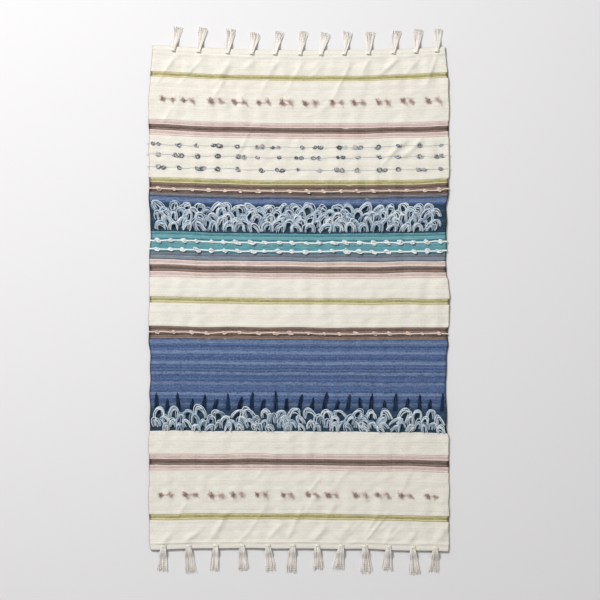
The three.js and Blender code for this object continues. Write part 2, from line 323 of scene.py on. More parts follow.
def band_edges(node: str, cloth: LaidCloth) -> tuple[float, float]:
    """Find a band's front and back edges on the straight cloth.

    Args:
        node: Name of a packed band or surface yarn.
        cloth: The laid cloth.

    Returns:
        The straight-cloth y of its front edge and of its back edge.
    """
    front, back = left_edge(node, cloth.width)
    return cloth.straight_y(front), cloth.straight_y(back)


# ---------------------------------------------------------------------------
# Finishes
# ---------------------------------------------------------------------------

Colour = tuple[float, float, float]


def linear(red: int, green: int, blue: int) -> Colour:
    """Turn an 8-bit screen colour into linear values."""

    def one(value: int) -> float:
        share = value / 255.0
        return share / 12.92 if share <= 0.04045 else ((share + 0.055) / 1.055) ** 2.4

    return one(red), one(green), one(blue)


class NodeBench:
    """A node tree, with a short way to add nodes to it."""

    def __init__(self, tree: bpy.types.NodeTree) -> None:
        self.tree = tree

    def feed(self, target: Socket, value: object) -> None:
        """Link a socket to another, or set a constant on it."""
        if isinstance(value, Socket):
            self.tree.links.new(value, target)
        else:
            target.default_value = value

    def add(self, kind: str, inputs: dict | None = None, **settings: object) -> bpy.types.Node:
        """Add a node, set its properties and feed its inputs, found by name or number."""
        node = self.tree.nodes.new(kind)
        for key, value in settings.items():
            setattr(node, key, value)
        for key, value in (inputs or {}).items():
            self.feed(node.inputs[key], value)
        return node


class NodeSheet(NodeBench):
    """One material's nodes."""

    def __init__(self, name: str) -> None:
        self.material = bpy.data.materials.new(name)
        self.material.use_nodes = True
        super().__init__(self.material.node_tree)
        self.shader = self.tree.nodes["Principled BSDF"]
        self.shader.inputs["Specular IOR Level"].default_value = 0.15

    def maths(self, operation: str, first: object, second: object = 0.0) -> Socket:
        """Add a Math node and return its output."""
        return self.add("ShaderNodeMath", {0: first, 1: second}, operation=operation).outputs[0]

    def times(self, first: object, second: object) -> Socket:
        """Multiply two values."""
        return self.maths("MULTIPLY", first, second)

    def plus(self, first: object, second: object) -> Socket:
        """Add two values."""
        return self.maths("ADD", first, second)

    def stored(self, name: str) -> Socket:
        """Read a value that is stored on the mesh."""
        return self.add("ShaderNodeAttribute", attribute_name=name).outputs["Fac"]

    def noise(self, vector: object, scale: float, detail: float = 2.0) -> Socket:
        """Add a noise texture and return its value."""
        inputs = {"Vector": vector, "Scale": scale, "Detail": detail}
        return self.add("ShaderNodeTexNoise", inputs).outputs["Fac"]

    def vector(self, x: object, y: object, z: object = 0.0) -> Socket:
        """Combine three values into a vector."""
        return self.add("ShaderNodeCombineXYZ", {0: x, 1: y, 2: z}).outputs[0]

    def mix(self, share: object, first: object, second: object) -> Socket:
        """Mix two colours and return the result."""
        first, second = ((*c, 1.0) if isinstance(c, tuple) else c for c in (first, second))
        inputs = {0: share, 6: first, 7: second}
        return self.add("ShaderNodeMix", inputs, data_type="RGBA", clamp_factor=True).outputs[2]

    def spread(self, value: object, low: float, high: float) -> Socket:
        """Map a value from low..high to 0..1, clamped."""
        inputs = {"Value": value, "From Min": low, "From Max": high}
        return self.add("ShaderNodeMapRange", inputs).outputs[0]

    def tint(self, colour: object, towards: object, value: object, low: float, high: float,
             most: float) -> Socket:
        """Mix a colour towards another as a value goes from low to high, by a share at most."""
        return self.mix(self.times(self.spread(value, low, high), most), colour, towards)

    def finish(self, colour: object, height: object, depth: float, rough: object) -> bpy.types.Material:
        """Feed the shader with a colour, a bump of a depth in metres and a roughness."""
        bump = self.add("ShaderNodeBump", {"Height": height, "Distance": depth, "Strength": 1.0})
        self.feed(self.shader.inputs["Base Color"], colour)
        self.feed(self.shader.inputs["Normal"], bump.outputs[0])
        self.feed(self.shader.inputs["Roughness"], rough)
        return self.material


@dataclass(frozen=True)
class WovenFinish:
    """Weft-faced cotton cloth: ribs of yarn that dip under the warp, with tone from pick to pick.

    Attributes:
        slot: The record's material slot.
        main: Usual colour.
        pale: Colour of the palest stretches.
        deep: Colour of the darkest stretches, and of the painted shade between picks.
        pick: Width of one pick of yarn, in metres.
        warp: Spacing of the warp, in metres.
        tone: How strongly picks differ, from 0 to 1.
        stripe: Period of paler rows along the mat, or 0 for none.
        stripe_pale: Colour of those rows.
        relief: Depth of the weave's bump, in metres.
        hollow: How strongly painted shade darkens the gaps between picks, from 0 to 1.
        streak: Length of the streaks along each pick.
        speckle: How strongly single fibres differ, from 0 to 1.
        edge: Colour of the yarn's turns at the selvedges, darkened as painted shade.
        edge_width: Width of those turns and of their painted shade.
        under: Colour of the painted shade on the ground below a pile.
        half: Distance of each selvedge from the middle.
    """

    slot: str
    main: Colour
    pale: Colour
    deep: Colour
    pick: float = 2.6 * MM
    warp: float = 5.2 * MM
    tone: float = 0.5
    stripe: float = 0.0
    stripe_pale: Colour = (0.5, 0.5, 0.5)
    relief: float = 0.5 * MM
    hollow: float = 0.45
    streak: float = 30.0 * MM
    speckle: float = 0.35
    edge: Colour = (0.02, 0.018, 0.015)
    edge_width: float = 5.0 * MM
    under: Colour = (0.02, 0.03, 0.05)
    half: float = 0.343

    def make(self) -> bpy.types.Material:
        """Build the material.

        Returns:
            The finished material.
        """
        sheet = NodeSheet(self.slot)
        place = sheet.add("ShaderNodeUVMap", uv_map="weave").outputs[0]
        u, v, _ = sheet.add("ShaderNodeSeparateXYZ", {0: place}).outputs
        row = sheet.maths("DIVIDE", v, self.pick)
        number = sheet.maths("FLOOR", row)
        across = sheet.maths("DIVIDE", u, self.warp)
        stagger = sheet.times(sheet.maths("MODULO", number, 2.0), 0.5)
        bead = sheet.maths("SINE", sheet.times(sheet.plus(across, stagger), math.tau))
        rib = sheet.maths("ABSOLUTE", sheet.maths("SINE", sheet.times(row, math.pi)))
        rib = sheet.maths("POWER", rib, 0.5)

        by_pick = sheet.add("ShaderNodeTexWhiteNoise", noise_dimensions="1D")
        sheet.feed(by_pick.inputs["W"], number)
        streaks = sheet.noise(sheet.vector(sheet.maths("DIVIDE", u, self.streak), number), 1.0, 3.0)
        fine = sheet.noise(sheet.vector(u, v), 620.0, 3.0)
        grain = sheet.noise(sheet.vector(sheet.times(u, 0.7), v), 330.0, 2.0)
        tone = sheet.plus(sheet.times(streaks, 0.6), sheet.times(by_pick.outputs["Value"], 0.4))
        colour = sheet.tint(self.main, self.pale, tone, 0.46, 0.78, self.tone)
        if self.stripe:
            phase = sheet.maths("SUBTRACT", v, 6.0 * MM)
            wave = sheet.maths("COSINE", sheet.times(phase, math.tau / self.stripe))
            ragged = sheet.plus(wave, sheet.times(streaks, 0.9))
            colour = sheet.tint(colour, self.stripe_pale, ragged, 0.85, 1.4, 0.8)
        colour = sheet.tint(colour, self.deep, tone, 0.50, 0.22, self.tone)
        # Painted shade in the gaps between the ribs.
        colour = sheet.tint(colour, self.deep, rib, 0.55, 0.1, self.hollow)
        colour = sheet.tint(colour, self.pale, grain, 0.54, 0.72, self.speckle)
        colour = sheet.tint(colour, self.deep, grain, 0.46, 0.28, self.speckle)
        colour = sheet.tint(colour, self.pale, fine, 0.45, 0.75, 0.25)
        # Painted shade on the ground below the loop pile and round the navy tufts.
        colour = sheet.mix(sheet.times(sheet.stored("under"), 0.85), colour, self.under)
        # Painted shade: each band darkens towards both selvedges, over the turns of its yarn.
        ragged_edge = sheet.plus(sheet.maths("ABSOLUTE", u), sheet.times(streaks, 2.0 * MM))
        inner = self.half - self.edge_width + 1.0 * MM
        colour = sheet.tint(colour, self.edge, ragged_edge, inner, self.half + 0.5 * MM, 0.85)

        height = sheet.plus(sheet.plus(rib, sheet.times(bead, 0.35)), sheet.times(fine, 0.5))
        rough = sheet.plus(0.84, sheet.times(fine, 0.14))
        return sheet.finish(colour, height, self.relief, rough)


@dataclass(frozen=True)
class YarnFinish:
    """Loose cotton yarn: each strand has its own tone, with fine fibres along it.

    Attributes:
        slot: The record's material slot.
        main: Usual colour.
        pale: Colour of the palest strands.
        deep: Colour of the darkest strands, and of the painted shade between plies.
        variety: How strongly strands differ, from 0 to 1.
        twist: Length of one full turn of each strand's two plies, in metres.
    """

    slot: str
    main: Colour
    pale: Colour
    deep: Colour
    variety: float = 0.7
    twist: float = 5.0 * MM

    def plies(self, sheet: NodeSheet) -> Socket:
        """Give a height that winds two plies round each strand."""
        x, y = sheet.stored("ring_x"), sheet.stored("ring_y")
        phase = sheet.times(sheet.stored("along"), math.tau / self.twist)
        twice_cos = sheet.maths("SUBTRACT", sheet.times(x, x), sheet.times(y, y))
        twice_sin = sheet.times(sheet.times(x, y), 2.0)
        first = sheet.times(twice_cos, sheet.maths("COSINE", phase))
        second = sheet.times(twice_sin, sheet.maths("SINE", phase))
        return sheet.maths("SUBTRACT", first, second)

    def make(self) -> bpy.types.Material:
        """Build the material.

        Returns:
            The finished material.
        """
        sheet = NodeSheet(self.slot)
        where = sheet.add("ShaderNodeTexCoord").outputs["Object"]
        mottle = sheet.noise(where, 160.0, 2.0)
        fibre = sheet.noise(where, 1400.0, 3.0)
        plies = self.plies(sheet)
        mixed = sheet.plus(sheet.times(sheet.stored("tone"), 0.7), sheet.times(mottle, 0.3))
        colour = sheet.tint(self.main, self.pale, mixed, 0.5, 0.8, self.variety)
        colour = sheet.tint(colour, self.deep, mixed, 0.48, 0.2, self.variety)
        colour = sheet.tint(colour, self.pale, fibre, 0.5, 0.8, 0.3)
        # Painted shade in the grooves between the two plies.
        colour = sheet.tint(colour, self.deep, plies, -0.3, -0.95, 0.4)
        height = sheet.plus(sheet.times(plies, 0.5), fibre)
        rough = sheet.plus(0.86, sheet.times(fibre, 0.12))
        return sheet.finish(colour, height, 0.3 * MM, rough)


PICKS = {"olive": 4.1 * MM, "pink": 4.0 * MM, "brown": 4.1 * MM, "grey": 4.0 * MM, "blue": 3.6 * MM,
         "teal": 3.8 * MM, "slate": 3.8 * MM}

FINISHES = (
    WovenFinish("cream_cotton", linear(241, 236, 224), linear(249, 247, 241), linear(214, 206, 188),
                pick=2.2 * MM, tone=0.35, relief=0.4 * MM, hollow=0.10, speckle=0.42,
                edge=linear(150, 138, 104), edge_width=2.0 * MM),
    WovenFinish("olive", linear(190, 183, 127), linear(229, 223, 185), linear(122, 114, 66),
                pick=PICKS["olive"], tone=0.9, edge=linear(58, 52, 34), edge_width=7.0 * MM),
    WovenFinish("pink", linear(222, 201, 193), linear(242, 230, 223), linear(180, 152, 144),
                pick=PICKS["pink"], tone=0.8, edge=linear(120, 96, 92), edge_width=3.0 * MM),
    WovenFinish("brown", linear(123, 104, 95), linear(162, 142, 131), linear(58, 44, 39),
                pick=PICKS["brown"], tone=0.85, edge=linear(24, 18, 18), edge_width=9.0 * MM),
    WovenFinish("grey", linear(118, 119, 127), linear(160, 162, 170), linear(68, 68, 76),
                pick=PICKS["grey"], tone=0.85, edge=linear(30, 30, 36)),
    WovenFinish("blue", linear(76, 98, 140), linear(118, 137, 176), linear(44, 60, 90),
                pick=PICKS["blue"], tone=0.55, stripe=23.9 * MM, stripe_pale=linear(134, 152, 182),
                hollow=0.3, streak=16.0 * MM, speckle=0.7,
                edge=linear(22, 26, 40), under=linear(30, 58, 70)),
    WovenFinish("teal", linear(88, 148, 158), linear(138, 186, 190), linear(52, 100, 114),
                pick=PICKS["teal"], tone=0.9, edge=linear(20, 44, 52)),
    WovenFinish("slate", linear(116, 126, 138), linear(150, 160, 170), linear(74, 86, 100),
                pick=PICKS["slate"], tone=0.85, edge=linear(30, 36, 44)),
    YarnFinish("rose_tuft", linear(216, 184, 174), linear(244, 226, 217), linear(158, 122, 114), 1.0),
    YarnFinish("grey_slub", linear(158, 162, 174), linear(222, 224, 226), linear(78, 82, 98), 1.0),
    YarnFinish("pink_slub", linear(236, 212, 198), linear(250, 238, 228), linear(192, 160, 148)),
    YarnFinish("white_slub", linear(242, 246, 246), linear(252, 254, 254), linear(196, 210, 214)),
    YarnFinish("loop_yarn", linear(212, 227, 239), linear(246, 252, 255), linear(118, 144, 176), 1.0),
    YarnFinish("navy_tuft", linear(30, 46, 78), linear(52, 78, 108), linear(14, 24, 42)),
    YarnFinish("tassel_cotton", linear(250, 246, 239), linear(255, 253, 249), linear(228, 219, 208)),
    YarnFinish("hem_thread", linear(160, 148, 132), linear(232, 227, 216), linear(104, 90, 76), 1.0),
)


class Palette:
    """Every finish, made once and found by slot name."""

    def __init__(self) -> None:
        self.materials = {finish.slot: finish.make() for finish in FINISHES}

    def __getitem__(self, slot: str) -> bpy.types.Material:
        return self.materials[slot]


# ---------------------------------------------------------------------------
# Woven pieces
# ---------------------------------------------------------------------------


def finish_piece(piece: bpy.types.Object, body: str, slot: str, *nodes: str) -> bpy.types.Object:
    """Attach a finished piece to its body, and hide the imported nodes that it stands for."""
    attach(piece, body)
    if nodes:
        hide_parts(*nodes)
    LOG.info("%s: %d vertices", piece.name, len(piece.data.vertices))
    return piece


@dataclass(frozen=True)
class Rib:
    """The raised picks of one band.

    Attributes:
        pick: Width of one pick, in metres.
        height: Height of each rib.
        samples: Rows of the mesh for each pick.
    """

    pick: float
    height: float
    samples: int

    def at(self, x: Array, y: Array, back: float) -> Array:
        """Give the rib height at straight-cloth points of a band, from its back edge's y."""
        row = (back - y) / self.pick
        number = np.floor(row)
        uneven = 1.0 + 0.35 * np.sin(x * 61.0 + number * 2.4) * np.sin(x * 23.0 + number * 5.1)
        dip = 0.22 * np.cos(2.0 * math.pi * (x / (6.4 * MM) + 0.5 * np.mod(number, 2.0)))
        return self.height * uneven * (np.abs(np.sin(math.pi * row)) ** 0.7 + dip - 0.6)


class WovenPiece:
    """Builds closed slabs of cloth between straight-cloth edges."""

    columns = 236
    floor_columns = 14

    def __init__(self, cloth: LaidCloth, palette: Palette) -> None:
        self.cloth = cloth
        self.palette = palette

    def stations(self, columns: int, extra: int) -> Array:
        """Give x places across the cloth, closer together round the selvedges."""
        half, radius = self.cloth.width / 2, self.cloth.edge_radius
        turn = np.linspace(0.0, math.pi / 2, extra + 1)
        rounded = -half + radius * (1.0 - np.cos(turn))
        middle = np.linspace(-half + radius, half - radius, columns)
        return np.concatenate([rounded[:-1], middle, -rounded[:-1][::-1]])

    def edge_share(self, x: Array) -> Array:
        """Give 1 on the flat of the cloth, falling to 0 round to the selvedge."""
        inset = (self.cloth.width / 2 - np.abs(x)) / self.cloth.edge_radius
        return np.sqrt(np.clip(1.0 - (1.0 - np.clip(inset, 0.0, 1.0)) ** 2, 0.0, 1.0))

    def mesh(self, name: str, rows: Array, top: Array, low: Array,
             top_x: Array, low_x: Array, under: tuple[float, float]) -> bpy.types.Object:
        """Build one closed slab from its upper and lower heights.

        Args:
            name: Name of the piece.
            rows: Straight-cloth y of each row, from front to back.
            top: Upper heights, a row for each y and a column for each top x.
            low: Lower heights, a row for each y and a column for each low x.
            top_x: Straight-cloth x places of the upper face, whose ends are the selvedges.
            low_x: The same for the lower face.
            under: Where the painted shade below a pile starts and where it is full, from the back edge.

        Returns:
            The new object.
        """
        count, wide, narrow = len(rows), len(top_x), len(low_x)
        upper = np.stack(np.broadcast_arrays(top_x[None, :], rows[:, None], top), axis=-1)
        lower = np.stack(np.broadcast_arrays(low_x[None, 1:-1], rows[:, None], low[:, 1:-1]), axis=-1)
        straight = np.concatenate([upper.reshape(-1, 3), lower.reshape(-1, 3)])
        laid = straight.copy()
        laid[:, 0] = self.cloth.laid_x(straight[:, 0], straight[:, 1])
        laid[:, 1] = self.cloth.laid_y(straight[:, 0], straight[:, 1])

        up = np.arange(count * wide).reshape(count, wide)
        beneath = np.empty((count, narrow), dtype=int)
        beneath[:, 0], beneath[:, -1] = up[:, 0], up[:, -1]
        beneath[:, 1:-1] = count * wide + np.arange(count * (narrow - 2)).reshape(count, narrow - 2)

        def quads(grid: Array, flip: bool) -> list[tuple[int, ...]]:
            a, b = grid[:-1, :-1].ravel(), grid[:-1, 1:].ravel()
            c, d = grid[1:, 1:].ravel(), grid[1:, :-1].ravel()
            order = (d, c, b, a) if flip else (a, b, c, d)
            return np.column_stack(order).tolist()

        faces = quads(up, False) + quads(beneath, True)
        smooth = len(faces)
        bounds = np.searchsorted(top_x, low_x)
        for row, forward in ((0, True), (count - 1, False)):
            for i in range(narrow - 1):
                ring = list(up[row, bounds[i]:bounds[i + 1] + 1])
                if i > 0:
                    ring.insert(0, beneath[row, i])
                if i < narrow - 2:
                    ring.append(beneath[row, i + 1])
                faces.append([int(v) for v in (ring[::-1] if forward else ring)])
        mesh = bpy.data.meshes.new(name)
        mesh.from_pydata(laid.tolist(), [], faces)
        shading = np.zeros(len(faces), dtype=bool)
        shading[:smooth] = True
        mesh.polygons.foreach_set("use_smooth", shading)
        corner = np.empty(len(mesh.loops), dtype=np.int32)
        mesh.loops.foreach_get("vertex_index", corner)
        layer = mesh.uv_layers.new(name="weave")
        straight[:, 1] = rows[-1] - straight[:, 1]
        layer.data.foreach_set("uv", straight[corner, :2].ravel().astype(np.float32))
        # Share of painted shade below a pile, stored in the 'under' attribute.
        pile_shade_share = smooth_step((straight[:, 1] - under[0]) / (under[1] - under[0]))
        shade = mesh.attributes.new("under", "FLOAT", "POINT")
        shade.data.foreach_set("value", pile_shade_share.astype(np.float32))
        mesh.update()
        return place_new(name, mesh)

    def faces_of(self) -> tuple[Array, Array]:
        """Give matching x places for the upper and the lower face."""
        top_x = self.stations(self.columns, 4)
        pick = np.linspace(4, len(top_x) - 5, self.floor_columns).round().astype(int)
        pick = np.concatenate([[0, 2], pick, [len(top_x) - 3, len(top_x) - 1]])
        return top_x, top_x[pick]

    def slab(self, node: str, slot: str, rows: Array, add: Callable, share: Array | float,
             under: tuple[float, float] = NO_PILE) -> bpy.types.Object:
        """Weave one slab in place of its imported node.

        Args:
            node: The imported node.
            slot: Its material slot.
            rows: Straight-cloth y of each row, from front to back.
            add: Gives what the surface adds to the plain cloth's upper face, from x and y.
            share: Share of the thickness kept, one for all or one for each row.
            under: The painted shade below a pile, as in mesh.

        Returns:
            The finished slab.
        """
        top_x, low_x = self.faces_of()
        y = rows[:, None]
        heights = []
        for x, upper in ((top_x[None, :], True), (low_x[None, :], False)):
            lift, flat = self.cloth.lift(x, y), self.cloth.top(x, y)
            middle = (lift + flat) / 2
            face = flat + add(x, y) if upper else lift
            heights.append(middle + (face - middle) * self.edge_share(x) * share)
        top, low = heights
        piece = self.mesh("woven_" + node, rows, top, np.maximum(low, LOWEST), top_x, low_x, under)
        piece.data.materials.append(self.palette[slot])
        return finish_piece(piece, MAT_BODY, slot, node)

    def band(self, node: str, slot: str, rib: Rib) -> bpy.types.Object:
        """Weave one coloured band."""
        front, back = band_edges(node, self.cloth)
        rows = np.linspace(front, back, max(4, int((back - front) / rib.pick * rib.samples)))
        soften = 0.8 * MM

        def add(x: Array, y: Array) -> Array:
            ends = smooth_step((y - front) / soften) * smooth_step((back - y) / soften)
            return rib.at(x, y, back) - 0.7 * MM * (1.0 - ends)

        return self.slab(node, slot, rows, add, 1.0, PILE_SHADE.get(node, NO_PILE))

    def ground(self, fields: list[tuple[float, float]]) -> bpy.types.Object:
        """Weave the cream ground cloth with its hems, thin where coloured bands cover it.

        Args:
            fields: Straight-cloth front and back edges of each coloured band.

        Returns:
            The ground cloth.
        """
        cloth = self.cloth
        half = cloth.length / 2
        rows = self.ground_rows(fields)
        covered = sum(((rows > front) & (rows < back)).astype(float) for front, back in fields)
        inset = np.clip((half - np.abs(rows)) / HEM_ROLL, 0.0, 1.0)
        roll = np.sqrt(1.0 - (1.0 - inset) ** 2)
        share = roll * (1.0 - (1.0 - COVERED_SHARE) * covered)
        weave = Ripple(0.10 * MM, 0.011, "cream", stretch=3.0)

        def add(x: Array, y: Array) -> Array:
            hem = np.clip((half - np.abs(y)) / cloth.hem_depth, 0.0, 1.0)
            return weave.at(x, y) + 0.5 * MM * np.sin(hem * math.pi) * cloth.hem_share(y)

        return self.slab("ground_cloth", "cream_cotton", rows, add, share[:, None])

    def ground_rows(self, fields: list[tuple[float, float]]) -> Array:
        """Give the rows of the ground cloth: close in the cream, sparse under the bands."""
        half = self.cloth.length / 2
        stops = [-half]
        for front, back in sorted(fields):
            stops += [front - HAIR, front + HAIR, back - HAIR, back + HAIR]
        stops.append(half)
        rows: list[float] = []
        for first, pitch in ((0, 2.0 * MM), (2, 5.0 * MM)):
            for index in range(first, len(stops) - 1, 4):
                low, high = stops[index], stops[index + 1]
                rows += list(np.linspace(low, high, max(3, int((high - low) / pitch))))
        rows = [y for y in rows if abs(y) < half - HEM_ROLL or abs(abs(y) - half) < HAIR]
        rolled = HEM_ROLL * (1.0 - np.cos(np.linspace(0.0, math.pi / 2, 5)[1:-1]))
        rows += [*(rolled - half), *(half - rolled), *stops[1:-1]]
        return np.unique(np.array(rows).round(7))



# ---------------------------------------------------------------------------
# Strands
# ---------------------------------------------------------------------------


class StrandTree(NodeBench):
    """The Geometry Nodes tree that turns bare lines into round, slightly uneven yarn."""

    GIVEN = {"Lines": "Geometry", "Sides": "Int", "Wobble": "Float", "Wobble Scale": "Float",
             "Seed": "Float", "Material": "Material"}

    def __init__(self) -> None:
        super().__init__(bpy.data.node_groups.new("sweep_strands", "GeometryNodeTree"))
        self.inputs = {name: self.socket(name, kind, "INPUT") for name, kind in self.GIVEN.items()}
        self.socket("Yarn", "Geometry", "OUTPUT")
        self.build()

    def socket(self, name: str, kind: str, way: str) -> str:
        """Add one named input or output and return its identifier."""
        kind = "NodeSocket" + kind
        return self.tree.interface.new_socket(name, in_out=way, socket_type=kind).identifier

    def keep(self, geometry: Socket, name: str,
             value: Socket) -> Socket:
        """Store a value on a geometry's points and return the geometry."""
        inputs = {"Name": name, "Geometry": geometry, "Value": value}
        return self.add("GeometryNodeStoreNamedAttribute", inputs,
                        data_type="FLOAT", domain="POINT").outputs[0]

    def build(self) -> None:
        """Lay out the nodes."""
        given = self.add("NodeGroupInput").outputs
        curve = self.add("GeometryNodeMeshToCurve", {0: given["Lines"]})
        thickness = self.add("GeometryNodeInputNamedAttribute", {"Name": "radius"}, data_type="FLOAT")
        noise = self.add("ShaderNodeTexNoise", {"W": given["Seed"], "Scale": given["Wobble Scale"]},
                         noise_dimensions="4D")
        centred = self.add("ShaderNodeVectorMath", {0: noise.outputs["Color"], 1: (0.5, 0.5, 0.5)},
                           operation="SUBTRACT")
        scaled = self.add("ShaderNodeVectorMath", {0: centred.outputs[0], "Scale": given["Wobble"]},
                          operation="SCALE")
        moved = self.add("GeometryNodeSetPosition",
                         {"Geometry": curve.outputs[0], "Offset": scaled.outputs[0]})
        line = self.keep(moved.outputs[0], "along",
                         self.add("GeometryNodeSplineParameter").outputs["Length"])
        circle = self.add("GeometryNodeCurvePrimitiveCircle",
                          {"Resolution": given["Sides"], "Radius": 1.0})
        position = self.add("GeometryNodeInputPosition").outputs[0]
        x, y, _ = self.add("ShaderNodeSeparateXYZ", {0: position}).outputs
        ring = self.keep(self.keep(circle.outputs["Curve"], "ring_x", x), "ring_y", y)
        swept = self.add("GeometryNodeCurveToMesh",
                         {"Fill Caps": True, "Curve": line, "Profile Curve": ring,
                          "Scale": thickness.outputs["Attribute"]})
        real = self.add("GeometryNodeRealizeInstances", {0: swept.outputs[0]})
        smooth = self.add("GeometryNodeSetShadeSmooth", {0: real.outputs[0]})
        finish = self.add("GeometryNodeSetMaterial",
                          {0: smooth.outputs[0], "Material": given["Material"]})
        self.add("NodeGroupOutput", {0: finish.outputs[0]})


def side_and_up(route: Array) -> tuple[Array, Array]:
    """Give unit vectors to the side of a route and up from it, at each of its points."""
    tangent = np.gradient(route, axis=0)
    tangent /= np.maximum(np.linalg.norm(tangent, axis=1, keepdims=True), 1e-9)
    side = np.cross(tangent, (0.0, 0.0, 1.0))
    side /= np.maximum(np.linalg.norm(side, axis=1, keepdims=True), 1e-6)
    return side, np.cross(side, tangent)


class Skein:
    """Collects the strands of one piece and sweeps them into yarn.

    Attributes:
        node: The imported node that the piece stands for.
        lay: Gives where drawn points lie on the mat.
        random: Gives every random number of the piece.
    """

    tree: StrandTree | None = None

    def __init__(self, node: str, lay: Callable[[Array], Array], prefix: str = "yarn_") -> None:
        self.node = node
        self.name = prefix + node
        self.lay = lay
        self.random = rng(node)
        self.points: list[Array] = []
        self.radii: list[Array] = []
        self.tones: list[Array] = []

    def add(self, points: Array, radius: float | Array, tone: float | Array) -> None:
        """Lay one strand.

        Args:
            points: Its route as drawn, as rows of x, y, z.
            radius: Its radius, or one for each point.
            tone: Its tone, from 0, deep, to 1, pale, or one for each point.
        """
        self.add_laid(self.lay(points), radius, tone)

    def add_laid(self, points: Array, radius: float | Array, tone: float | Array) -> None:
        """Add one strand whose points already lie where they belong."""
        self.points.append(points)
        self.radii.append(np.broadcast_to(radius, len(points)).astype(float))
        self.tones.append(np.broadcast_to(tone, len(points)).astype(float))

    def plied(self, drawn: Array, strands: int, lay: float, twist: float, radius: float,
              palest: float = 0.0) -> None:
        """Add strands twisted round one route.

        Args:
            drawn: The yarn's middle line as drawn.
            strands: How many plies.
            lay: Distance of each ply from the middle.
            twist: Length of one full turn.
            radius: Radius of each ply.
            palest: The lowest tone of any ply.
        """
        route = self.lay(drawn)
        steps = np.linalg.norm(np.diff(route, axis=0), axis=1)
        travelled = np.concatenate([[0.0], np.cumsum(steps)])
        side, up = side_and_up(route)
        for ply in range(strands):
            turn = (travelled / twist + ply / strands) * math.tau
            offset = np.cos(turn)[:, None] * side + np.sin(turn)[:, None] * up
            self.add_laid(route + lay * offset, radius, self.random.uniform(palest, 1.0))

    def lines(self) -> bpy.types.Mesh:
        """Make a mesh of bare lines, with a radius and a tone on each point."""
        edges = []
        start = 0
        for strand in self.points:
            index = np.arange(start, start + len(strand))
            edges.append(np.column_stack([index[:-1], index[1:]]))
            start += len(strand)
        mesh = bpy.data.meshes.new(self.name + "_lines")
        mesh.from_pydata(np.concatenate(self.points).tolist(), np.concatenate(edges).tolist(), [])
        for name, values in (("radius", self.radii), ("tone", self.tones)):
            attribute = mesh.attributes.new(name, "FLOAT", "POINT")
            attribute.data.foreach_set("value", np.concatenate(values).astype(np.float32))
        return mesh

    def finish(self, palette: Palette, slot: str, body: str = MAT_BODY, sides: int = 5,
               wobble: float = 0.0, wobble_scale: float = 90.0) -> bpy.types.Object:
        """Sweep the strands into one mesh piece at the origin, and attach it.

        Args:
            palette: Holds the yarn's finish.
            slot: The material slot of the piece.
            body: The body that it rides on.
            sides: Sides of each strand.
            wobble: How far strands stray, in metres.
            wobble_scale: How often they stray.

        Returns:
            The finished piece.
        """
        Skein.tree = Skein.tree or StrandTree()
        material = palette[slot]
        lines = self.lines()
        holder = place_new(lines.name, lines)
        modifier = holder.modifiers.new("sweep", "NODES")
        modifier.node_group = Skein.tree.tree
        given = {"Sides": sides, "Wobble": wobble, "Wobble Scale": wobble_scale,
                 "Seed": float(len(self.name)), "Material": material}
        for name, value in given.items():
            modifier[Skein.tree.inputs[name]] = value
        bpy.context.view_layer.update()
        shaped = holder.evaluated_get(bpy.context.evaluated_depsgraph_get())
        mesh = bpy.data.meshes.new_from_object(shaped)
        mesh.name = self.name
        bpy.data.objects.remove(holder)
        bpy.data.meshes.remove(lines)
        if not mesh.materials:
            mesh.materials.append(material)
        return finish_piece(place_new(self.name, mesh), body, slot, self.node)


def arch(centre: float, base: float, width: float, reach: float, height: float, steps: int = 11,
         lean: float = 0.0) -> Array:
    """Give one loop of yarn that leaves the cloth, arches back and returns.

    Args:
        centre: Middle of its feet across the mat.
        base: Straight-cloth y of its feet.
        width: Distance between its feet.
        reach: How far back its top lies.
        height: How high its top stands.
        steps: Points along it.
        lean: Sideways shift of its top.

    Returns:
        Straight-cloth points whose z is the height over the cloth.
    """
    turn = np.linspace(0.0, math.pi, steps)
    rise = np.sin(turn) ** 0.75
    x = centre - width / 2 * np.cos(turn) + lean * rise
    return np.column_stack([x, base + reach * rise, height * rise - 1.0 * MM * (rise < 0.05)])


def places(pitch: float, half: float, random: np.random.Generator, stray: float) -> Array:
    """Give places a pitch apart and centred, each strayed a little."""
    steps = int(2 * half / pitch)
    centred = (np.arange(steps + 1) - steps / 2) * pitch
    return centred + random.uniform(-stray, stray, steps + 1)


def middle_y(node: str, cloth: LaidCloth) -> float:
    """Give the straight-cloth y of the middle of a packed band or surface yarn."""
    return sum(band_edges(node, cloth)) / 2


class Knot(Enum):
    """What stands along a surface yarn."""

    CURL = "curl"
    NUB = "nub"
    TUFT = "tuft"


